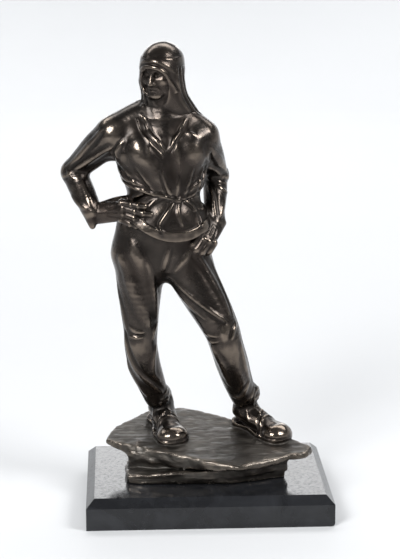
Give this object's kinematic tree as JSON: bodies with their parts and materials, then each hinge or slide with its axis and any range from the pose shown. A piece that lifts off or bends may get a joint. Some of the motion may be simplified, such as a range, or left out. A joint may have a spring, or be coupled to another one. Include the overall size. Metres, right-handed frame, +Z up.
{
  "type": "bronze male figure",
  "caption": "Cast bronze statuette of a labourer, hands on hips, in head cloth, blouse, trousers and boots, on a broken rock slab fixed to a bevelled black marble plinth.",
  "frame": {"origin": "middle of the plinth's underside", "axes": "+Z up, -Y to the figure's front, +X to the figure's left"},
  "size_m": [0.2612, 0.17, 0.4583],
  "materials": {
    "bronze": "dark brown patina, waxed, glossy on raised forms",
    "marble": "polished black marble"
  },
  "bodies": {
    "root": {"bronze_figure": "bronze", "marble_plinth": "marble"}
  },
  "joints": []
}
